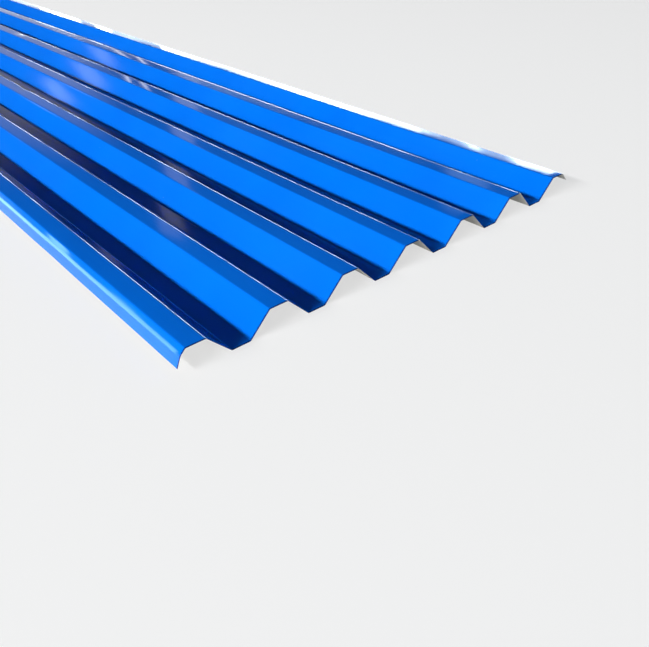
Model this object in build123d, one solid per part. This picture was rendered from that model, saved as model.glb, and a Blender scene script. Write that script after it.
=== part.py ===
from build123d import *

import os
from math import atan2, cos, degrees, radians, sin, tan

# Corrugated roofing and cladding sheet: one strip of pre-painted steel coil, roll-formed into trapezoidal
# ribs and cut square to length. Millimetres. X runs across the ribs, Y along them and Z up. The sheet lies
# on the undersides of its valleys, with the origin on the floor below the middle of the sheet.

# Stock
LENGTH = 3000.0  # as sold, between the two square cut ends
SHEET_THICKNESS = 0.5  # steel with zinc and paint on both sides

# Rib profile, with widths measured between sharp corners on the underside
RIB_COUNT = 7
RIB_PITCH = 125.0
PROFILE_DEPTH = 35.0  # from the underside of a valley to the top of a rib
CREST_WIDTH = 29.0
VALLEY_WIDTH = 29.0
BEND_RADIUS = 3.0  # inside radius of every fold between a flat and a web

# Covering edge, which laps over the next sheet: a short web, a wide second bend, then a steep lip
COVER_WEB = 11.6  # from the crest's sharp corner to the second bend's
COVER_BEND_RADIUS = 12.0
COVER_BEND_ANGLE = 21.0  # degrees that the lip is turned further down than the web
COVER_LIP = 14.3  # straight stretch after the second bend

# Underlapping edge, which the next sheet covers: the last rib's web, cut short
UNDERLAP_LIP = 19.9  # straight stretch after the fold

# Worked out from the above
CREST_UNDERSIDE = PROFILE_DEPTH - SHEET_THICKNESS
WEB_RUN = (RIB_PITCH - CREST_WIDTH - VALLEY_WIDTH) / 2
WEB_ANGLE = degrees(atan2(CREST_UNDERSIDE, WEB_RUN))
FIRST_RIB = -RIB_PITCH * (RIB_COUNT - 1) / 2
LAST_RIB = -FIRST_RIB


def setback(radius: float, angle: float) -> float:
    """Distance from a sharp corner to where its bend of this radius and turn begins."""
    return radius * tan(radians(angle) / 2)


def covering_edge() -> tuple[list[tuple[float, float]], list[float]]:
    """Lip end, second bend and crest corner of the first rib, and the radii at those two corners."""
    corner = FIRST_RIB - CREST_WIDTH / 2
    bend = corner - COVER_WEB * cos(radians(WEB_ANGLE))
    bend_height = CREST_UNDERSIDE - COVER_WEB * sin(radians(WEB_ANGLE))
    lip_angle = radians(WEB_ANGLE + COVER_BEND_ANGLE)
    leg = setback(COVER_BEND_RADIUS, COVER_BEND_ANGLE) + COVER_LIP
    lip_end = (bend - leg * cos(lip_angle), bend_height - leg * sin(lip_angle))
    return [lip_end, (bend, bend_height), (corner, CREST_UNDERSIDE)], [COVER_BEND_RADIUS, BEND_RADIUS]


def valley(rib: float) -> tuple[list[tuple[float, float]], list[float]]:
    """Four corners from the crest of the rib centred here, through the valley, to the next crest."""
    next_rib = rib + RIB_PITCH
    points = [
        (rib + CREST_WIDTH / 2, CREST_UNDERSIDE),
        (rib + CREST_WIDTH / 2 + WEB_RUN, 0),
        (next_rib - CREST_WIDTH / 2 - WEB_RUN, 0),
        (next_rib - CREST_WIDTH / 2, CREST_UNDERSIDE),
    ]
    outside_radius = BEND_RADIUS + SHEET_THICKNESS
    return points, [BEND_RADIUS, outside_radius, outside_radius, BEND_RADIUS]


def underlapping_edge() -> tuple[list[tuple[float, float]], list[float]]:
    """Last fold and lip end of the last rib, and the radius at that fold."""
    corner = LAST_RIB + CREST_WIDTH / 2
    leg = setback(BEND_RADIUS, WEB_ANGLE) + UNDERLAP_LIP
    run = leg * cos(radians(WEB_ANGLE))
    drop = leg * sin(radians(WEB_ANGLE))
    points = [(corner, CREST_UNDERSIDE), (corner + run, CREST_UNDERSIDE - drop)]
    return points, [BEND_RADIUS]


def fold_line() -> tuple[list[tuple[float, float]], list[float]]:
    """Sharp corners of the underside from edge to edge, and the radius at each inner corner."""
    stretches = [covering_edge()]
    for index in range(RIB_COUNT - 1):
        stretches.append(valley(FIRST_RIB + index * RIB_PITCH))
    stretches.append(underlapping_edge())
    corners = [point for points, _ in stretches for point in points]
    radii = [radius for _, stretch_radii in stretches for radius in stretch_radii]
    return corners, radii


def corrugated_sheet() -> Part:
    """The whole sheet: the folded strip's end section, carried along the length."""
    corners, radii = fold_line()
    with BuildPart() as sheet:
        with BuildSketch(Plane.XZ):
            with BuildLine():
                FilletPolyline(corners, radius=radii)
                offset(amount=SHEET_THICKNESS, side=Side.LEFT)
            make_face()
        extrude(amount=LENGTH / 2, both=True)
    sheet.part.label = "corrugated_sheet"
    return sheet.part


os.makedirs("parts", exist_ok=True)
export_step(corrugated_sheet(), "parts/corrugated_sheet.step")
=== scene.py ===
"""Looks of one corrugated roofing sheet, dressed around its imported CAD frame.

The sheet is a strip of coil-coated steel, folded into trapezoidal ribs. Metres, with X across the ribs,
Y along them and Z up, as in the frame.
"""

import logging
from dataclasses import dataclass, field
from enum import Enum
from math import atan2, cos, exp, pi, radians, sin, tan

import bmesh
import bpy
from bmesh.types import BMEdge, BMesh, BMVert
from bpy.types import Material, Node, NodeSocket, NodeTree, Object
from mathutils import Matrix, Quaternion, Vector, noise


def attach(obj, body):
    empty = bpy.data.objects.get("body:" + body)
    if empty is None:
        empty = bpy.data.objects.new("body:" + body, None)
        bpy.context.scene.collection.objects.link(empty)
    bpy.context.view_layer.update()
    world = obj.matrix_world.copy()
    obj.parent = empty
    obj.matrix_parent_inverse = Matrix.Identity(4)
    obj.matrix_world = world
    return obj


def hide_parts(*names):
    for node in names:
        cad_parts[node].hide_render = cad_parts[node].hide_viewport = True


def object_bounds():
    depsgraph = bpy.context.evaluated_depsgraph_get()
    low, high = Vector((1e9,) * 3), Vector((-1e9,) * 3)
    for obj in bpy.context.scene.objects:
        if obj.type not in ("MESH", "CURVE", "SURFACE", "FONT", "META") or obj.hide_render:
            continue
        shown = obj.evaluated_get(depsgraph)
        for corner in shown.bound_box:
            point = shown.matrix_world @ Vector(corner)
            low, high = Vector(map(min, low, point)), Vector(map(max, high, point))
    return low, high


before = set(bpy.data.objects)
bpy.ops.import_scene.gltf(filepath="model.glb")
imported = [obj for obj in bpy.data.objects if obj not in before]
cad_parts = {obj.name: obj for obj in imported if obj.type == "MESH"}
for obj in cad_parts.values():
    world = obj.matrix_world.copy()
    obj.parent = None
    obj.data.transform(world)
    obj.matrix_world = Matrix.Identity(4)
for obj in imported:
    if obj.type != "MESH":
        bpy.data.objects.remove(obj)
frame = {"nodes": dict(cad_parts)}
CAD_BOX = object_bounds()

LOG = logging.getLogger("corrugated_sheet")
MM = 0.001
NODE = "corrugated_sheet"
BODY = "root"
WHITE = "#FFFFFF"
SKY_BLUE = "#C8ECFF"

# Points nearer to each other than this count as one place.
SAME_PLACE = 1 * MM

# Colour sockets of a Mix node, by number, because its other sockets have the same names.
MIX_FIRST, MIX_SECOND, MIX_RESULT = 6, 7, 2

# Places on the sheet that more than one reflection card faces.
MIDDLE_WEBS = (0.1, -0.13, 0.02)
FAR_CRESTS = (0.2, -0.25, 0.03)


class Face(Enum):
    """The sheet's three kinds of surface, numbered as the material slots that they use."""

    PAINTED = 0
    BACK = 1
    CUT_EDGE = 2


class Stretch(Enum):
    """The flat stretches between the folds of the strip."""

    CREST = "crest"
    WEB = "web"
    VALLEY = "valley"
    LIP = "lip"
    UNDERLAP = "underlap"


class Wander(Enum):
    """Kinds of slow unevenness, each on a level of the noise of its own, so that no two are alike."""

    FLAT_BOW = 0.5
    EDGE_WAVE = 1.5
    SLOW_LEAN = 2.5
    BEND_DIMPLE = 4.5
    QUICK_LEAN = 7.5

    def at(self, across: float, along: float) -> float:
        """This kind's noise at a place, between about -1 and 1."""
        return noise.noise(Vector((across, along, self.value)))


def linear(code: str) -> tuple[float, float, float, float]:
    """Turns an sRGB hex colour into the linear colour that a shader takes.

    Args:
        code: six hex digits, with or without a leading hash mark.

    Returns:
        Red, green, blue and an alpha of one.
    """
    digits = code.lstrip("#")
    shares = [int(digits[i : i + 2], 16) / 255 for i in (0, 2, 4)]
    low_end, slope, lift, power = 0.04045, 12.92, 0.055, 2.4
    values = [s / slope if s <= low_end else ((s + lift) / (1 + lift)) ** power for s in shares]
    return (values[0], values[1], values[2], 1.0)


def add_node(
    tree: NodeTree,
    kind: str,
    settings: dict[str, object] | None = None,
    values: dict[str | int, object] | None = None,
    links: dict[str | int, NodeSocket] | None = None,
) -> Node:
    """Adds one node to a tree, with its settings and links.

    Args:
        tree: the material's or world's node tree.
        kind: Blender's name for the kind of node.
        settings: the node's own properties.
        values: unlinked input sockets, by name or number.
        links: input sockets, by name or number, and the outputs that feed them.

    Returns:
        The new node.
    """
    node = tree.nodes.new(kind)
    for name, value in (settings or {}).items():
        setattr(node, name, value)
    for key, value in (values or {}).items():
        node.inputs[key].default_value = value
    for key, source in (links or {}).items():
        tree.links.new(source, node.inputs[key])
    return node


def new_material(name: str) -> tuple[Material, NodeTree]:
    """Makes an empty node material.

    Args:
        name: the finish's plain name.

    Returns:
        The material and its cleared node tree.
    """
    material = bpy.data.materials.new(name)
    material.use_nodes = True
    material.node_tree.nodes.clear()
    return material, material.node_tree


@dataclass(frozen=True)
class CoilCoatedPaint:
    """Blue polyester paint, baked on flat coil before the ribs were rolled.

    To the eye it is a smooth, deep gloss with no brush or spray marks: faint streaks along the strip from
    the coating and forming rolls, a thin film of yard dust, a duller sheen where the covering edge is
    rubbed, and a painted shade line at each cut end: a dark line painted into the colour for the shaded end.

    Attributes:
        streak_roughness: how much duller a streak is.
        dust_roughness: how much duller the paint is where dust covers it.
        dust_cover: share of the paint that the film hides at its thickest.
        dust_range: noise where the film begins, and where it is thickest.
        speck_radius_share: radius of a speck, as a share of the specks' spacing.
        peel_mm: width of the orange peel that the oven leaves, and peel_height_mm its height.
        rubbed_mm: X where the rubbed covering edge begins, and where it is rubbed throughout.
        end_mm: distance of each cut end from the middle of the sheet.
        painted_end_shade_mm: width of the painted shade line at each cut end, a little wider than a sharp
            shear leaves it, to be seen.
        painted_end_shade_dark_mm: width of the part of that painted shade line that is darkest.
    """

    name: str = "coil_coated_polyester_paint"
    colour: str = "#0077F0"
    deep_colour: str = "#0068DC"
    dust_colour: str = "#9FA6B4"
    # Painted shade: the dark navy of the shaded cut ends, painted into the paint's colour.
    painted_end_shade_colour: str = "#06236A"
    ior: float = 1.5
    roughness: float = 0.07
    streak_roughness: float = 0.025
    dust_roughness: float = 0.16
    rubbed_roughness: float = 0.1
    streak_width_mm: float = 5.0
    streak_length_mm: float = 900.0
    streak_detail: float = 2.0
    mottle_mm: float = 180.0
    mottle_detail: float = 2.0
    dust_patch_mm: float = 240.0
    dust_patch_detail: float = 3.0
    dust_grain_mm: float = 1.6
    dust_grain_detail: float = 1.0
    dust_cover: float = 0.008
    dust_range: tuple[float, float] = (0.15, 0.45)
    speck_spacing_mm: float = 46.0
    speck_radius_share: float = 0.02
    peel_mm: float = 3.0
    peel_detail: float = 1.0
    peel_height_mm: float = 0.004
    rubbed_mm: tuple[float, float] = (-399.0, -403.0)
    end_mm: float = CAD_BOX[1][1] / MM
    painted_end_shade_mm: float = 2.8
    painted_end_shade_dark_mm: float = 1.0

    def material(self) -> Material:
        """Builds the paint's node material.

        Returns:
            The material.
        """
        material, tree = new_material(self.name)
        place = add_node(tree, "ShaderNodeTexCoord").outputs["Object"]
        axes = add_node(tree, "ShaderNodeSeparateXYZ", links={0: place})
        dust = self._dust(tree, place)
        blue = self._dusty_blue(tree, place, dust)
        shader = add_node(
            tree,
            "ShaderNodeBsdfPrincipled",
            values={"IOR": self.ior},
            links={
                "Base Color": self._painted_end_shade(tree, axes.outputs["Y"], blue),
                "Roughness": self._sheen(tree, place, axes.outputs["X"], dust),
                "Normal": self._peel(tree, place),
            },
        )
        add_node(tree, "ShaderNodeOutputMaterial", links={"Surface": shader.outputs["BSDF"]})
        return material

    def _dust(self, tree: NodeTree, place: NodeSocket) -> NodeSocket:
        """Adds the dust film and its few larger specks.

        Args:
            tree: the paint's node tree.
            place: the Object coordinates.

        Returns:
            The share of the paint that dust covers.
        """
        patch = add_node(
            tree,
            "ShaderNodeTexNoise",
            values={"Scale": 1 / (self.dust_patch_mm * MM), "Detail": self.dust_patch_detail},
            links={"Vector": place},
        )
        grain = add_node(
            tree,
            "ShaderNodeTexNoise",
            values={"Scale": 1 / (self.dust_grain_mm * MM), "Detail": self.dust_grain_detail},
            links={"Vector": place},
        )
        film = add_node(
            tree,
            "ShaderNodeMath",
            settings={"operation": "MULTIPLY"},
            links={0: patch.outputs["Fac"], 1: grain.outputs["Fac"]},
        )
        begins, thickest = self.dust_range
        thin = add_node(
            tree,
            "ShaderNodeMapRange",
            values={"From Min": begins, "From Max": thickest, "To Max": self.dust_cover},
            links={"Value": film.outputs[0]},
        )
        cells = add_node(
            tree,
            "ShaderNodeTexVoronoi",
            values={"Scale": 1 / (self.speck_spacing_mm * MM)},
            links={"Vector": place},
        )
        speck = add_node(
            tree,
            "ShaderNodeMapRange",
            values={"From Min": self.speck_radius_share, "From Max": 0.0},
            links={"Value": cells.outputs["Distance"]},
        )
        total = add_node(
            tree,
            "ShaderNodeMath",
            settings={"operation": "ADD", "use_clamp": True},
            links={0: thin.outputs["Result"], 1: speck.outputs["Result"]},
        )
        return total.outputs[0]

    def _dusty_blue(self, tree: NodeTree, place: NodeSocket, dust: NodeSocket) -> NodeSocket:
        """Adds the blue, which is a little deeper in places, and the dust on it.

        Args:
            tree: the paint's node tree.
            place: the Object coordinates.
            dust: the share of the paint that dust covers.

        Returns:
            The colour.
        """
        mottle = add_node(
            tree,
            "ShaderNodeTexNoise",
            values={"Scale": 1 / (self.mottle_mm * MM), "Detail": self.mottle_detail},
            links={"Vector": place},
        )
        blue = add_node(
            tree,
            "ShaderNodeMix",
            settings={"data_type": "RGBA"},
            values={MIX_FIRST: linear(self.colour), MIX_SECOND: linear(self.deep_colour)},
            links={0: mottle.outputs["Fac"]},
        )
        dusty = add_node(
            tree,
            "ShaderNodeMix",
            settings={"data_type": "RGBA"},
            values={MIX_SECOND: linear(self.dust_colour)},
            links={0: dust, MIX_FIRST: blue.outputs[MIX_RESULT]},
        )
        return dusty.outputs[MIX_RESULT]

    def _painted_end_shade(self, tree: NodeTree, along: NodeSocket, colour: NodeSocket) -> NodeSocket:
        """Adds the painted shade: a dark line painted at each cut end, where the sheared end lies in shade.

        Args:
            tree: the paint's node tree.
            along: the place along the ribs.
            colour: the paint's colour elsewhere.

        Returns:
            The colour, with the lines.
        """
        # Painted shade: darkens the colour over the last few millimetres before each cut end.
        reach = add_node(tree, "ShaderNodeMath", settings={"operation": "ABSOLUTE"}, links={0: along})
        end_shade_mask = add_node(
            tree,
            "ShaderNodeMapRange",
            values={
                "From Min": (self.end_mm - self.painted_end_shade_mm) * MM,
                "From Max": (self.end_mm - self.painted_end_shade_dark_mm) * MM,
            },
            links={"Value": reach.outputs[0]},
        )
        painted = add_node(
            tree,
            "ShaderNodeMix",
            settings={"data_type": "RGBA"},
            values={MIX_SECOND: linear(self.painted_end_shade_colour)},
            links={0: end_shade_mask.outputs["Result"], MIX_FIRST: colour},
        )
        return painted.outputs[MIX_RESULT]

    def _sheen(
        self, tree: NodeTree, place: NodeSocket, across: NodeSocket, dust: NodeSocket
    ) -> NodeSocket:
        """Adds the roll streaks, the dust's dullness and the rubbed covering edge.

        Args:
            tree: the paint's node tree.
            place: the Object coordinates.
            across: the place across the ribs.
            dust: the share of the paint that dust covers.

        Returns:
            The roughness.
        """
        streak_scale = (1.0, self.streak_width_mm / self.streak_length_mm, 1.0)
        drawn = add_node(tree, "ShaderNodeMapping", values={"Scale": streak_scale}, links={"Vector": place})
        streak = add_node(
            tree,
            "ShaderNodeTexNoise",
            values={"Scale": 1 / (self.streak_width_mm * MM), "Detail": self.streak_detail},
            links={"Vector": drawn.outputs["Vector"]},
        )
        streaked = add_node(
            tree,
            "ShaderNodeMapRange",
            values={"To Min": self.roughness, "To Max": self.roughness + self.streak_roughness},
            links={"Value": streak.outputs["Fac"]},
        )
        dusty = add_node(
            tree,
            "ShaderNodeMath",
            settings={"operation": "MULTIPLY_ADD"},
            values={1: self.dust_roughness},
            links={0: dust, 2: streaked.outputs["Result"]},
        )
        begins, throughout = self.rubbed_mm
        rubbed = add_node(
            tree,
            "ShaderNodeMapRange",
            values={"From Min": begins * MM, "From Max": throughout * MM, "To Max": self.rubbed_roughness},
            links={"Value": across},
        )
        roughness = add_node(
            tree,
            "ShaderNodeMath",
            settings={"operation": "ADD"},
            links={0: dusty.outputs[0], 1: rubbed.outputs["Result"]},
        )
        return roughness.outputs[0]

    def _peel(self, tree: NodeTree, place: NodeSocket) -> NodeSocket:
        """Adds the very slight orange peel of baked paint.

        Args:
            tree: the paint's node tree.
            place: the Object coordinates.

        Returns:
            The normal.
        """
        peel = add_node(
            tree,
            "ShaderNodeTexNoise",
            values={"Scale": 1 / (self.peel_mm * MM), "Detail": self.peel_detail},
            links={"Vector": place},
        )
        bump = add_node(
            tree,
            "ShaderNodeBump",
            values={"Strength": 1.0, "Distance": self.peel_height_mm * MM},
            links={"Height": peel.outputs["Fac"]},
        )
        return bump.outputs["Normal"]


@dataclass(frozen=True)
class BackCoat:
    """Thin pale grey epoxy on the underside: a flat, even primer, faintly streaked along the strip."""

    name: str = "epoxy_back_coat"
    colour: str = "#C9C8C0"
    rubbed_colour: str = "#B4B4AE"
    ior: float = 1.5
    roughness: float = 0.5
    streak_width_mm: float = 8.0
    streak_length_mm: float = 1200.0
    streak_detail: float = 3.0

    def material(self) -> Material:
        """Builds the back coat's node material.

        Returns:
            The material.
        """
        material, tree = new_material(self.name)
        place = add_node(tree, "ShaderNodeTexCoord").outputs["Object"]
        streak_scale = (1.0, self.streak_width_mm / self.streak_length_mm, 1.0)
        drawn = add_node(tree, "ShaderNodeMapping", values={"Scale": streak_scale}, links={"Vector": place})
        streak = add_node(
            tree,
            "ShaderNodeTexNoise",
            values={"Scale": 1 / (self.streak_width_mm * MM), "Detail": self.streak_detail},
            links={"Vector": drawn.outputs["Vector"]},
        )
        colour = add_node(
            tree,
            "ShaderNodeMix",
            settings={"data_type": "RGBA"},
            values={MIX_FIRST: linear(self.colour), MIX_SECOND: linear(self.rubbed_colour)},
            links={0: streak.outputs["Fac"]},
        )
        shader = add_node(
            tree,
            "ShaderNodeBsdfPrincipled",
            values={"IOR": self.ior, "Roughness": self.roughness},
            links={"Base Color": colour.outputs[MIX_RESULT]},
        )
        add_node(tree, "ShaderNodeOutputMaterial", links={"Surface": shader.outputs["BSDF"]})
        return material


@dataclass(frozen=True)
class ShearedEdge:
    """Bare galvanised steel where the shear cut through the strip: a bright, slightly torn metal line."""

    name: str = "sheared_galvanised_steel"
    colour: str = "#C8CCD0"
    torn_colour: str = "#8C9096"
    metallic: float = 1.0
    roughness: float = 0.38
    tear_mm: float = 2.5
    tear_detail: float = 2.0

    def material(self) -> Material:
        """Builds the cut edge's node material.

        Returns:
            The material.
        """
        material, tree = new_material(self.name)
        place = add_node(tree, "ShaderNodeTexCoord").outputs["Object"]
        tear = add_node(
            tree,
            "ShaderNodeTexNoise",
            values={"Scale": 1 / (self.tear_mm * MM), "Detail": self.tear_detail},
            links={"Vector": place},
        )
        colour = add_node(
            tree,
            "ShaderNodeMix",
            settings={"data_type": "RGBA"},
            values={MIX_FIRST: linear(self.colour), MIX_SECOND: linear(self.torn_colour)},
            links={0: tear.outputs["Fac"]},
        )
        shader = add_node(
            tree,
            "ShaderNodeBsdfPrincipled",
            values={"Metallic": self.metallic, "Roughness": self.roughness},
            links={"Base Color": colour.outputs[MIX_RESULT]},
        )
        add_node(tree, "ShaderNodeOutputMaterial", links={"Surface": shader.outputs["BSDF"]})
        return material


@dataclass(frozen=True)
class StudioFloor:
    """Matt pale studio floor. Seen by the camera or in a reflection it is lifted towards white."""

    name: str = "studio_floor"
    colour: str = "#EDEDED"
    lift: float = 0.65

    def material(self) -> Material:
        """Builds the floor's node material.

        Returns:
            The material.
        """
        material, tree = new_material(self.name)
        ray = add_node(tree, "ShaderNodeLightPath")
        seen = add_node(
            tree,
            "ShaderNodeMath",
            settings={"operation": "MAXIMUM"},
            links={0: ray.outputs["Is Camera Ray"], 1: ray.outputs["Is Glossy Ray"]},
        )
        shown = add_node(
            tree,
            "ShaderNodeMath",
            settings={"operation": "MAXIMUM"},
            links={0: seen.outputs[0], 1: ray.outputs["Is Transmission Ray"]},
        )
        lift = add_node(
            tree,
            "ShaderNodeMath",
            settings={"operation": "MULTIPLY"},
            values={1: self.lift},
            links={0: shown.outputs[0]},
        )
        matt = add_node(tree, "ShaderNodeBsdfDiffuse", values={"Color": linear(self.colour)})
        white = add_node(tree, "ShaderNodeEmission")
        mix = add_node(
            tree,
            "ShaderNodeMixShader",
            links={0: lift.outputs[0], 1: matt.outputs[0], 2: white.outputs[0]},
        )
        add_node(tree, "ShaderNodeOutputMaterial", links={"Surface": mix.outputs[0]})
        return material


@dataclass(frozen=True)
class Dent:
    """A shallow knock from handling.

    Attributes:
        place: X and Y of its middle.
        reach: how far it spreads across and along the strip.
        depth: how far its middle is pushed in.
    """

    place: tuple[float, float]
    reach: tuple[float, float]
    depth: float

    def push(self, point: Vector) -> float:
        """Fades the knock out with the distance from its middle.

        Args:
            point: a point of the painted face.

        Returns:
            Distance that this point is pushed in.
        """
        across = (point.x - self.place[0]) / self.reach[0]
        along = (point.y - self.place[1]) / self.reach[1]
        return self.depth * exp(-across * across - along * along)


@dataclass
class CorrugatedSheet:
    """The sheet: a folded strip with a twice bent covering edge, a plain underlapping edge and square ends.

    Attributes:
        near: Y of the cut end nearest to the camera, and far that of the other.
        cover_web: from the crest's sharp corner to the second bend's, on the underside.
        cover_radius: the second bend's radius, a little softer than the frame's.
        cover_leg: from the second bend's sharp corner to the end of the lip, on the underside.
        least_flat: width of the narrowest stretch that counts as flat.
        flat_shares: where each flat is cut along its length, as shares of its width.
        length_cuts: how many evenly spaced rows of cuts cross the whole sheet.
        crest_bow: most that a crest sinks between its folds. web_bow and valley_bow are alike.
        bow_length: length of a bow along the ribs, and bow_level how far flats are bowed on average.
        bow_step: how unlike the bows of neighbouring flats are.
        lean_sink: most that one side of a crest sinks as the rib leans.
        lean_length: length of a slow lean along the rib. Quick leans go lean_quick_rate times as fast.
        lean_quick_share: size of a quick lean, as a share of a slow one.
        crest_dome: how far a crest's middle stands above its sides.
        lip_wave: most that the covering lip waves inwards.
        bend_dimple: depth of a dimple in the second bend.
        bend_dimple_level: how far the bend is dimpled on average. bend_dimple_gain is how much that varies.
        bend_share: where the second bend is on the covering edge, as a share of its drop.
        bend_reach_share: how far the dimples reach from there, as such a share.
        die_roll_reach: how far from a cut end the shear dragged the face down by up to die_roll_depth.
        die_roll_parts: the face is cut at that reach divided by each of these, to follow the drag.
    """

    near: float = CAD_BOX[0][1]
    far: float = CAD_BOX[1][1]
    depth: float = CAD_BOX[1][2] - CAD_BOX[0][2]
    thickness: float = 0.5 * MM
    rib_count: int = 7
    pitch: float = 125 * MM
    crest_width: float = 29 * MM
    valley_width: float = 29 * MM
    fold_radius: float = 3 * MM
    fold_segments: int = 5
    cover_web: float = 11.6 * MM
    cover_radius: float = 20 * MM
    cover_turn: float = radians(21)
    cover_segments: int = 6
    cover_leg: float = 16.52 * MM
    underlap_lip: float = 19.9 * MM
    least_flat: float = 5 * MM
    flat_shares: tuple[float, ...] = (0.06, 0.5, 0.94)
    length_cuts: int = 179
    crest_bow: float = 0.15 * MM
    web_bow: float = 0.1 * MM
    valley_bow: float = 0.3 * MM
    bow_length: float = 210 * MM
    bow_level: float = 0.3
    bow_step: float = 0.37
    lean_sink: float = 0.3 * MM
    lean_length: float = 240 * MM
    lean_quick_rate: float = 2.7
    lean_quick_share: float = 0.5
    crest_dome: float = 0.09 * MM
    lip_wave: float = 0.6 * MM
    lip_wave_length: float = 210 * MM
    bend_dimple: float = 0.15 * MM
    bend_dimple_length: float = 90 * MM
    bend_dimple_level: float = 0.4
    bend_dimple_gain: float = 1.2
    bend_share: float = 0.48
    bend_reach_share: float = 0.22
    underlap_wave: float = 0.3 * MM
    die_roll_reach: float = 2.2 * MM
    die_roll_depth: float = 0.4 * MM
    die_roll_parts: tuple[int, ...] = (1, 3)
    dents: tuple[Dent, ...] = (
        Dent(place=(-110.5 * MM, -234 * MM), reach=(9 * MM, 34 * MM), depth=1.6 * MM),
        Dent(place=(139.5 * MM, 457 * MM), reach=(9 * MM, 40 * MM), depth=1.6 * MM),
        Dent(place=(-398 * MM, -1126 * MM), reach=(10 * MM, 45 * MM), depth=1.0 * MM),
    )
    paint: CoilCoatedPaint = field(default_factory=CoilCoatedPaint)
    back_coat: BackCoat = field(default_factory=BackCoat)
    cut_edge: ShearedEdge = field(default_factory=ShearedEdge)

    @property
    def web_run(self) -> float:
        """Width across the strip that one sloping web takes up."""
        return (self.pitch - self.crest_width - self.valley_width) / 2

    @property
    def web_angle(self) -> float:
        """Turn of every fold between a flat and a web."""
        return atan2(self.depth - self.thickness, self.web_run)

    @property
    def cover_setback(self) -> float:
        """Distance from the second bend's sharp corner to where that bend begins."""
        return (self.cover_radius + self.thickness) * tan(self.cover_turn / 2)

    @property
    def rib_centres(self) -> list[float]:
        """X of the middle of each rib, from the covering edge."""
        first = -self.pitch * (self.rib_count - 1) / 2
        return [first + index * self.pitch for index in range(self.rib_count)]

    def cover_corners(self) -> list[tuple[float, float]]:
        """Sharp corners of the covering edge's painted face, from its lip to the first crest.

        Returns:
            X and Z of the lip's end, the second bend and the crest's fold.
        """
        mitre = self.thickness * tan(self.web_angle / 2)
        cover_mitre = self.thickness * tan(self.cover_turn / 2)
        crest = self.rib_centres[0] - (self.crest_width / 2 + mitre)
        web = self.cover_web + mitre + cover_mitre
        bend = crest - web * cos(self.web_angle)
        bend_height = self.depth - web * sin(self.web_angle)
        lip = self.cover_leg + cover_mitre
        lip_angle = self.web_angle + self.cover_turn
        return [
            (bend - lip * cos(lip_angle), bend_height - lip * sin(lip_angle)),
            (bend, bend_height),
            (crest, self.depth),
        ]

    def corners(self) -> list[tuple[float, float]]:
        """Sharp corners of the painted face from the covering edge's lip to the underlapping edge's.

        Returns:
            X and Z of each corner.
        """
        crest = self.crest_width / 2 + self.thickness * tan(self.web_angle / 2)
        foot = crest + self.web_run
        points = self.cover_corners()
        for rib in self.rib_centres[:-1]:
            points += [(rib + crest, self.depth), (rib + foot, self.thickness)]
            points += [(rib + self.pitch - foot, self.thickness), (rib + self.pitch - crest, self.depth)]
        last = self.rib_centres[-1] + crest
        leg = (self.fold_radius + self.thickness) * tan(self.web_angle / 2) + self.underlap_lip
        points.append((last, self.depth))
        points.append((last + leg * cos(self.web_angle), self.depth - leg * sin(self.web_angle)))
        return points

    def fold_strip(self) -> BMesh:
        """Draws the end section, carries it along the length and rounds its folds.

        Returns:
            The painted face as one open surface, divided evenly for its waves.
        """
        mesh = bmesh.new()
        chain = [mesh.verts.new((x, self.near, z)) for x, z in self.corners()]
        edges = [mesh.edges.new(pair) for pair in zip(chain, chain[1:])]
        grown = bmesh.ops.extrude_edge_only(mesh, edges=edges)["geom"]
        ends = [item for item in grown if isinstance(item, BMVert)]
        bmesh.ops.translate(mesh, verts=ends, vec=(0, self.far - self.near, 0))
        _lip_end, (bend, _height), _crest = self.cover_corners()
        folds = [edge for edge in mesh.edges if len(edge.link_faces) == 2]
        second_bend = [edge for edge in folds if abs(edge.verts[0].co.x - bend) < SAME_PLACE]
        crests = [edge for edge in folds if edge.verts[0].co.z > self.depth - SAME_PLACE]
        valleys = [edge for edge in folds if edge.verts[0].co.z < self.depth / 2]
        outside = self.fold_radius + self.thickness
        self._round(mesh, crests, outside * tan(self.web_angle / 2), self.fold_segments)
        self._round(mesh, valleys, self.fold_radius * tan(self.web_angle / 2), self.fold_segments)
        self._round(mesh, second_bend, self.cover_setback, self.cover_segments)
        self._divide(mesh)
        mesh.normal_update()
        if sum(face.normal.z for face in mesh.faces) < 0:
            bmesh.ops.reverse_faces(mesh, faces=mesh.faces[:])
            mesh.normal_update()
        return mesh

    @staticmethod
    def _round(mesh: BMesh, folds: list[BMEdge], setback: float, segments: int) -> None:
        """Rounds a set of sharp folds.

        Args:
            mesh: the strip.
            folds: the fold lines.
            setback: distance from each line to where its bend begins.
            segments: facets round each bend.
        """
        bmesh.ops.bevel(
            mesh,
            geom=folds,
            offset=setback,
            offset_type="OFFSET",
            affect="EDGES",
            segments=segments,
            profile=0.5,
            material=-1,
        )

    def _divide(self, mesh: BMesh) -> None:
        """Cuts the flats into strips and the whole length into rows.

        Strips beside a fold are narrow, to keep a bend's shading off the flats. So are the rows at the
        sheared ends.

        Args:
            mesh: the strip, with its folds rounded.
        """
        end = [edge for edge in mesh.edges if max(vert.co.y for vert in edge.verts) < self.near + SAME_PLACE]
        wide = [edge for edge in end if edge.calc_length() > self.least_flat]
        flats = [[vert.co.copy() for vert in edge.verts] for edge in wide]
        for low, high in flats:
            for share in self.flat_shares:
                self._cut(mesh, low.lerp(high, share), Vector((1, 0, 0)))
        along = [edge for edge in mesh.edges if abs(edge.verts[0].co.y - edge.verts[1].co.y) > SAME_PLACE]
        bmesh.ops.subdivide_edges(mesh, edges=along, cuts=self.length_cuts, use_grid_fill=True)
        for parts in self.die_roll_parts:
            reach = self.die_roll_reach / parts
            for row in (self.near + reach, self.far - reach):
                self._cut(mesh, Vector((0, row, 0)), Vector((0, 1, 0)))

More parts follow.
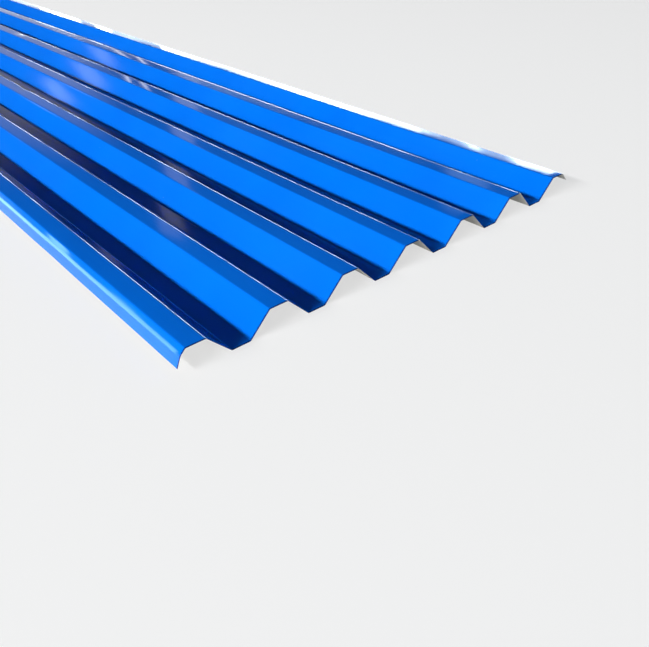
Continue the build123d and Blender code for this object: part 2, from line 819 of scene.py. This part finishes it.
    @staticmethod
    def _cut(mesh: BMesh, place: Vector, normal: Vector) -> None:
        """Cuts the whole strip where a plane passes through it."""
        whole = mesh.verts[:] + mesh.edges[:] + mesh.faces[:]
        bmesh.ops.bisect_plane(mesh, geom=whole, plane_co=place, plane_no=normal)

    def locate(self, point: Vector) -> tuple[Stretch, float]:
        """Finds which stretch of the strip a point is on.

        Args:
            point: a point of the painted face.

        Returns:
            The stretch, and how far across it the point is, from 0 to 1.
        """
        ribs = self.rib_centres
        crest = self.crest_width / 2
        drop = min(1.0, (self.depth - point.z) / (self.depth / 2))
        if point.x < ribs[0] - crest:
            return Stretch.LIP, drop
        if point.x > ribs[-1] + crest:
            return Stretch.UNDERLAP, drop
        offset = abs(point.x - self.nearest_rib(point))
        if offset < crest:
            return Stretch.CREST, (offset / crest + 1) / 2
        if offset < crest + self.web_run:
            return Stretch.WEB, (offset - crest) / self.web_run
        return Stretch.VALLEY, 0.5 + (self.pitch / 2 - offset) / self.valley_width

    def nearest_rib(self, point: Vector) -> float:
        """X of the middle of the rib that a point is nearest to."""
        return min(self.rib_centres, key=lambda centre: abs(point.x - centre))

    def die_roll(self, point: Vector) -> float:
        """How far the shear dragged the painted face down at a cut end."""
        inside = min(point.y - self.near, self.far - point.y)
        return self.die_roll_depth * max(0.0, 1 - inside / self.die_roll_reach) ** 2

    def lean(self, point: Vector) -> float:
        """Leans a rib's top to either side in turn along its length, and domes it a little.

        Args:
            point: a point of the true shape.

        Returns:
            How far the point sinks, which is next to nothing at the foot of a rib.
        """
        rib = self.nearest_rib(point)
        across = max(-1.0, min(1.0, (point.x - rib) / (self.crest_width / 2)))
        row = point.y / self.lean_length
        slow = Wander.SLOW_LEAN.at(rib / MM, row)
        quick = Wander.QUICK_LEAN.at(rib / MM, self.lean_quick_rate * row)
        side = slow + self.lean_quick_share * quick
        sink = self.lean_sink * (1 + across * side) / 2 + self.crest_dome * across * across
        return sink * (point.z / self.depth) ** 2

    def bow(self, point: Vector) -> float:
        """How far a flat stands out of its plane between its folds.

        Crests only bow down and valleys only up, and the two edges only wave inwards, so the sheet keeps its
        overall size.

        Args:
            point: a point of the true shape.

        Returns:
            Distance along the face's normal, positive outwards.
        """
        stretch, share = self.locate(point)
        flat = round(2 * point.x / self.pitch)
        wander = Wander.FLAT_BOW.at(self.bow_step * flat, point.y / self.bow_length)
        wave = (1 + Wander.EDGE_WAVE.at(0.0, point.y / self.lip_wave_length)) / 2
        pinch = Wander.BEND_DIMPLE.at(0.0, point.y / self.bend_dimple_length)
        dimple = max(0.0, self.bend_dimple_level + self.bend_dimple_gain * pinch)
        rolled = exp(-(((share - self.bend_share) / self.bend_reach_share) ** 2))
        arch = sin(pi * share) ** 2
        swell = max(0.0, self.bow_level + wander)
        offsets = {
            Stretch.CREST: -self.crest_bow * arch * swell,
            Stretch.VALLEY: self.valley_bow * arch * swell,
            Stretch.WEB: self.web_bow * arch * wander,
            Stretch.LIP: -self.lip_wave * share * wave - self.bend_dimple * rolled * dimple,
            Stretch.UNDERLAP: -self.underlap_wave * share * wave,
        }
        return offsets[stretch]

    def deflection(self, point: Vector, normal: Vector) -> Vector:
        """Moves a point of the painted face, as in any thin sheet that was rolled, cut and handled.

        Args:
            point: a point of the true shape.
            normal: the face's normal there.

        Returns:
            The move from the true shape.
        """
        inwards = self.die_roll(point) + sum(dent.push(point) for dent in self.dents)
        return normal * (self.bow(point) - inwards) - Vector((0.0, 0.0, self.lean(point)))

    def build(self) -> Object:
        """Models the sheet.

        Returns:
            The sheet's object, with its thickness as a modifier.
        """
        mesh = self.fold_strip()
        gauge_layer = mesh.verts.layers.deform.verify()
        moves = [self.deflection(vert.co, vert.normal) for vert in mesh.verts]
        for vert, move in zip(mesh.verts, moves):
            vert[gauge_layer][0] = 1 - self.die_roll(vert.co) / self.thickness
            vert.co += move
        for edge in mesh.edges:
            edge.smooth = not edge.is_boundary
        for face in mesh.faces:
            face.smooth = True
        data = bpy.data.meshes.new(NODE)
        mesh.to_mesh(data)
        mesh.free()
        sheet = bpy.data.objects.new("roofing_sheet", data)
        bpy.context.scene.collection.objects.link(sheet)
        self._thicken(sheet)
        return sheet

    def _thicken(self, sheet: Object) -> None:
        """Gives the painted face its thickness below, which the shear left thinner at the cut ends.

        Args:
            sheet: the painted face, whose first weights are shares of the thickness.
        """
        gauge = sheet.modifiers.new("sheet_thickness", "SOLIDIFY")
        gauge.thickness = self.thickness
        gauge.vertex_group = sheet.vertex_groups.new(name="gauge").name
        gauge.offset = -1.0
        gauge.use_even_offset = True
        gauge.material_offset = Face.BACK.value
        gauge.material_offset_rim = Face.CUT_EDGE.value

    def dress(self, sheet: Object) -> None:
        """Gives each kind of face its finish.

        Args:
            sheet: the sheet's object.
        """
        finishes = {Face.PAINTED: self.paint, Face.BACK: self.back_coat, Face.CUT_EDGE: self.cut_edge}
        for face in Face:
            sheet.data.materials.append(finishes[face].material())

    def declare(self, sheet: Object) -> None:
        """Hides the CAD node that the sheet stands for, and attaches the sheet to the body that carries it.

        Args:
            sheet: the sheet's object.
        """
        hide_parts(NODE)
        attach(sheet, BODY)


@dataclass(frozen=True)
class SoftLamp:
    """A rectangular studio lamp that faces a point.

    Attributes:
        name: the lamp's plain name.
        place: where its middle is.
        target: what it faces.
        size: its width and height.
        power: its power in watts.
        lean: its turn about its own axis.
        spread: angle of the cone that each point of it lights.
        colour: its tint.
        gloss_only: whether it shows only in reflections.
    """

    name: str
    place: tuple[float, float, float]
    target: tuple[float, float, float]
    size: tuple[float, float]
    power: float
    lean: float = 0.0
    spread: float = pi
    colour: str = WHITE
    gloss_only: bool = False

    def build(self) -> Object:
        """Makes the lamp and turns it to its target.

        Returns:
            The lamp's object.
        """
        data = bpy.data.lights.new(self.name, "AREA")
        data.shape = "RECTANGLE"
        data.size, data.size_y = self.size
        data.energy = self.power
        data.color = linear(self.colour)[:3]
        data.spread = self.spread
        lamp = bpy.data.objects.new(self.name, data)
        bpy.context.scene.collection.objects.link(lamp)
        aim = Vector(self.target) - Vector(self.place)
        turn = aim.to_track_quat("-Z", "Y") @ Quaternion((0.0, 0.0, 1.0), self.lean)
        lamp.matrix_world = Matrix.Translation(self.place) @ turn.to_matrix().to_4x4()
        lamp.visible_camera = False
        lamp.visible_diffuse = not self.gloss_only
        return lamp


@dataclass(frozen=True)
class ReflectionCard(SoftLamp):
    """A card that shows only in reflections and casts no light."""

    gloss_only: bool = True


@dataclass(frozen=True)
class GlowBand:
    """A pale part of the surroundings: a band of elevations, all round or in one sector.

    Attributes:
        level: its brightness, where 1 is white.
        full_at: elevation where it is at full brightness.
        gone_at: elevation where it has faded out.
        colour: its tint.
        heading: middle of its sector, clockwise from +Y, or None for all round.
        half_full: how far either side of the heading it is at full brightness.
        half_gone: how far either side of the heading it has faded out.
    """

    level: float
    full_at: float
    gone_at: float
    colour: str = WHITE
    heading: float | None = None
    half_full: float = 0.0
    half_gone: float = 0.0

    def glow(self, tree: NodeTree, level_ray: NodeSocket, height: NodeSocket) -> NodeSocket:
        """Adds the band to the world.

        Args:
            tree: the world's node tree.
            level_ray: the horizontal direction, of unit length.
            height: the sine of the elevation.

        Returns:
            The band's light in each direction, as a colour.
        """
        weight = add_node(
            tree,
            "ShaderNodeMapRange",
            settings={"interpolation_type": "SMOOTHSTEP"},
            values={
                "From Min": sin(self.full_at),
                "From Max": sin(self.gone_at),
                "To Min": self.level,
                "To Max": 0.0,
            },
            links={"Value": height},
        ).outputs["Result"]
        if self.heading is not None:
            weight = add_node(
                tree,
                "ShaderNodeMath",
                settings={"operation": "MULTIPLY"},
                links={0: weight, 1: self._sector(tree, level_ray)},
            ).outputs[0]
        return add_node(
            tree,
            "ShaderNodeVectorMath",
            settings={"operation": "SCALE"},
            values={0: linear(self.colour)[:3]},
            links={"Scale": weight},
        ).outputs["Vector"]

    def _sector(self, tree: NodeTree, level_ray: NodeSocket) -> NodeSocket:
        """Adds the band's limits to either side of its heading.

        Args:
            tree: the world's node tree.
            level_ray: the horizontal direction, of unit length.

        Returns:
            A share from 0 outside the sector to 1 inside it.
        """
        across = add_node(
            tree,
            "ShaderNodeVectorMath",
            settings={"operation": "DOT_PRODUCT"},
            values={1: (sin(self.heading), cos(self.heading), 0.0)},
            links={0: level_ray},
        )
        side = add_node(
            tree,
            "ShaderNodeMapRange",
            settings={"interpolation_type": "SMOOTHSTEP"},
            values={"From Min": cos(self.half_gone), "From Max": cos(self.half_full)},
            links={"Value": across.outputs["Value"]},
        )
        return side.outputs["Result"]


@dataclass
class Studio:
    """Plain pale floor, a soft key from the covering edge's side, and a pale horizon that fades upwards.

    The cards show only in the paint: one along the covering edge's second bend, three as patches on the
    webs, three across the crests, and a low strip of them beside the underlapping edge, which draws the
    bright lines along the crests.

    Attributes:
        strip_x: where the strip stands.
        strip_heights: its lower and upper edge.
        strip_colour: its tint.
        strip_start: where its first card starts along the ribs.
        strip_rows: where each of its cards ends along the ribs, and how bright that card is.
        sky: tint of the dim studio overhead, and overhead its brightness.
        bands: the pale parts of the surroundings.
    """

    floor_size: float = 400.0
    floor: StudioFloor = field(default_factory=StudioFloor)
    lamps: tuple[SoftLamp, ...] = (
        SoftLamp(
            name="key",
            place=(-12.0, -0.5, 5.67),
            target=(-2.5, -0.5, 0.0),
            size=(13.0, 0.88),
            power=392.0,
            spread=radians(50),
        ),
        ReflectionCard(
            name="edge_card",
            place=(-4.0, 11.6, 0.95),
            target=(-0.4, 11.6, 0.95),
            size=(18.8, 1.75),
            power=526.0,
            lean=radians(-0.8),
            colour="#A8E4FF",
        ),
        ReflectionCard(
            name="web_card_1",
            place=(-2.58, 9.0, 3.19),
            target=MIDDLE_WEBS,
            size=(0.45, 0.2),
            power=0.34,
            lean=radians(20),
        ),
        ReflectionCard(
            name="web_card_2",
            place=(-2.3, 9.0, 3.64),
            target=MIDDLE_WEBS,
            size=(0.5, 0.23),
            power=0.43,
            lean=radians(25),
        ),
        ReflectionCard(
            name="web_card_3",
            place=(-1.93, 9.0, 3.8),
            target=MIDDLE_WEBS,
            size=(0.4, 0.19),
            power=0.29,
            lean=radians(27),
        ),
        ReflectionCard(
            name="far_card",
            place=(26.1, 48.9, 20.5),
            target=(0.0, -1.0, 0.0),
            size=(2.0, 14.0),
            power=42.0,
            lean=radians(-15),
        ),
        ReflectionCard(
            name="streak_card_1",
            place=(12.59, 27.07, 7.0),
            target=FAR_CRESTS,
            size=(0.14, 2.2),
            power=3.3,
            lean=radians(10),
        ),
        ReflectionCard(
            name="streak_card_2",
            place=(13.26, 26.76, 7.0),
            target=FAR_CRESTS,
            size=(0.14, 2.2),
            power=3.3,
            lean=radians(10),
        ),
    )
    strip_x: float = 1.2
    strip_heights: tuple[float, float] = (0.05, 0.41)
    strip_colour: str = "#DDF2FF"
    strip_start: float = -2.3
    strip_rows: tuple[tuple[float, float], ...] = (
        (-2.1, 0.4),
        (-1.9, 0.9),
        (-1.7, 1.6),
        (-1.5, 2.8),
        (-1.3, 5.0),
        (-1.02, 9.0),
        (-0.87, 13.0),
        (-0.85, 6.0),
        (-0.83, 4.0),
        (-0.74, 2.5),
        (-0.72, 4.0),
        (-0.67, 8.0),
        (-0.64, 4.0),
        (-0.54, 2.5),
        (-0.49, 4.0),
        (-0.44, 6.0),
        (1.5, 13.0),
        (2.1, 2.5),
        (2.33, 13.0),
        (2.55, 1.5),
        (3.25, 13.0),
        (5.0, 2.5),
    )
    sky: str = SKY_BLUE
    overhead: float = 0.02
    bands: tuple[GlowBand, ...] = (
        GlowBand(level=0.85, full_at=radians(7), gone_at=radians(13)),
        GlowBand(
            level=0.85,
            full_at=radians(12),
            gone_at=radians(24),
            heading=radians(192),
            half_full=radians(100),
            half_gone=radians(120),
        ),
        GlowBand(level=0.2, full_at=radians(72), gone_at=radians(52), colour=SKY_BLUE),
        GlowBand(
            level=0.42,
            full_at=radians(13),
            gone_at=radians(21),
            heading=radians(9),
            half_full=radians(10.5),
            half_gone=radians(15.5),
        ),
        GlowBand(
            level=0.45,
            full_at=radians(12),
            gone_at=radians(20),
            colour=SKY_BLUE,
            heading=radians(50),
            half_full=radians(19),
            half_gone=radians(23),
        ),
        GlowBand(
            level=0.6,
            full_at=radians(23.5),
            gone_at=radians(25.5),
            colour=SKY_BLUE,
            heading=radians(53),
            half_full=radians(1.2),
            half_gone=radians(2.4),
        ),
    )

    def build_floor(self) -> Object:
        """Lays the floor.

        Returns:
            The floor's object.
        """
        mesh = bmesh.new()
        bmesh.ops.create_grid(mesh, x_segments=1, y_segments=1, size=self.floor_size / 2)
        data = bpy.data.meshes.new(self.floor.name)
        mesh.to_mesh(data)
        mesh.free()
        data.materials.append(self.floor.material())
        floor = bpy.data.objects.new(self.floor.name, data)
        bpy.context.scene.collection.objects.link(floor)
        return floor

    def build_world(self) -> None:
        """Sets the surroundings: pale bands at the horizon, and a dim studio overhead."""
        world = bpy.data.worlds.new("studio")
        bpy.context.scene.world = world
        world.use_nodes = True
        tree = world.node_tree
        tree.nodes.clear()
        ray = add_node(tree, "ShaderNodeTexCoord").outputs["Generated"]
        height = add_node(tree, "ShaderNodeSeparateXYZ", links={0: ray}).outputs["Z"]
        flat_ray = add_node(
            tree,
            "ShaderNodeVectorMath",
            settings={"operation": "MULTIPLY"},
            values={1: (1.0, 1.0, 0.0)},
            links={0: ray},
        )
        level_ray = add_node(
            tree,
            "ShaderNodeVectorMath",
            settings={"operation": "NORMALIZE"},
            links={0: flat_ray.outputs["Vector"]},
        ).outputs["Vector"]
        dim = tuple(self.overhead * share for share in linear(self.sky)[:3])
        total = None
        for band in self.bands:
            light = add_node(
                tree,
                "ShaderNodeVectorMath",
                settings={"operation": "MAXIMUM"},
                values={0: dim},
                links={1: band.glow(tree, level_ray, height)},
            )
            if total:
                tree.links.new(total, light.inputs[0])
            total = light.outputs["Vector"]
        glow = add_node(tree, "ShaderNodeBackground", links={"Color": total})
        add_node(tree, "ShaderNodeOutputWorld", links={"Surface": glow.outputs[0]})

    def crest_strip(self) -> list[ReflectionCard]:
        """Lists the cards of the strip beside the underlapping edge.

        Returns:
            One card for each row of the strip.
        """
        low, high = self.strip_heights
        middle = (low + high) / 2
        cards = []
        start = self.strip_start
        for number, (end, level) in enumerate(self.strip_rows, 1):
            row = (start + end) / 2
            size = (end - start, high - low)
            card = ReflectionCard(
                name=f"crest_card_{number}",
                place=(self.strip_x, row, middle),
                target=(0.0, row, middle),
                size=size,
                power=level * pi * size[0] * size[1],
                colour=self.strip_colour,
            )
            cards.append(card)
            start = end
        return cards

    def build(self) -> None:
        """Builds the floor, the surroundings and the lamps."""
        floor = self.build_floor()
        LOG.info("stage %s", floor.name)
        self.build_world()
        for lamp in (*self.lamps, *self.crest_strip()):
            lamp.build()
            LOG.info("lamp %s", lamp.name)


@dataclass(frozen=True)
class PhotoCamera:
    """The photograph's viewpoint, found by fitting the end section's corners and the ridge lines.

    Attributes:
        place: where the camera is.
        heading: where it looks, clockwise from +Y.
        tilt: how far down it looks.
        roll: its turn about its own axis.
    """

    name: str = "photo_camera"
    place: tuple[float, float, float] = (-0.6737, -2.0959, 0.5056)
    heading: float = radians(39.94)
    tilt: float = radians(34.54)
    roll: float = radians(-1.32)
    lens_mm: float = 37.38
    sensor_mm: float = 36.0

    def build(self) -> Object:
        """Makes the camera and makes it the scene's own.

        Returns:
            The camera's object.
        """
        data = bpy.data.cameras.new(self.name)
        data.lens = self.lens_mm
        data.sensor_width = self.sensor_mm
        camera = bpy.data.objects.new(self.name, data)
        bpy.context.scene.collection.objects.link(camera)
        level = radians(90)
        turn = Matrix.Rotation(-self.heading, 4, "Z") @ Matrix.Rotation(level - self.tilt, 4, "X")
        camera.matrix_world = Matrix.Translation(self.place) @ turn @ Matrix.Rotation(self.roll, 4, "Z")
        bpy.context.scene.camera = camera
        return camera


def main() -> None:
    """Builds the sheet, its studio and the camera."""
    logging.basicConfig(level=logging.INFO)
    LOG.info("frame nodes %s", ", ".join(frame["nodes"]))
    bpy.context.scene.view_settings.view_transform = "Standard"
    model = CorrugatedSheet()
    sheet = model.build()
    model.dress(sheet)
    model.declare(sheet)
    LOG.info("piece %s: %d faces before its thickness", sheet.name, len(sheet.data.polygons))
    Studio().build()
    camera = PhotoCamera().build()
    LOG.info("camera %s", camera.name)


if __name__ == "__main__":
    main()
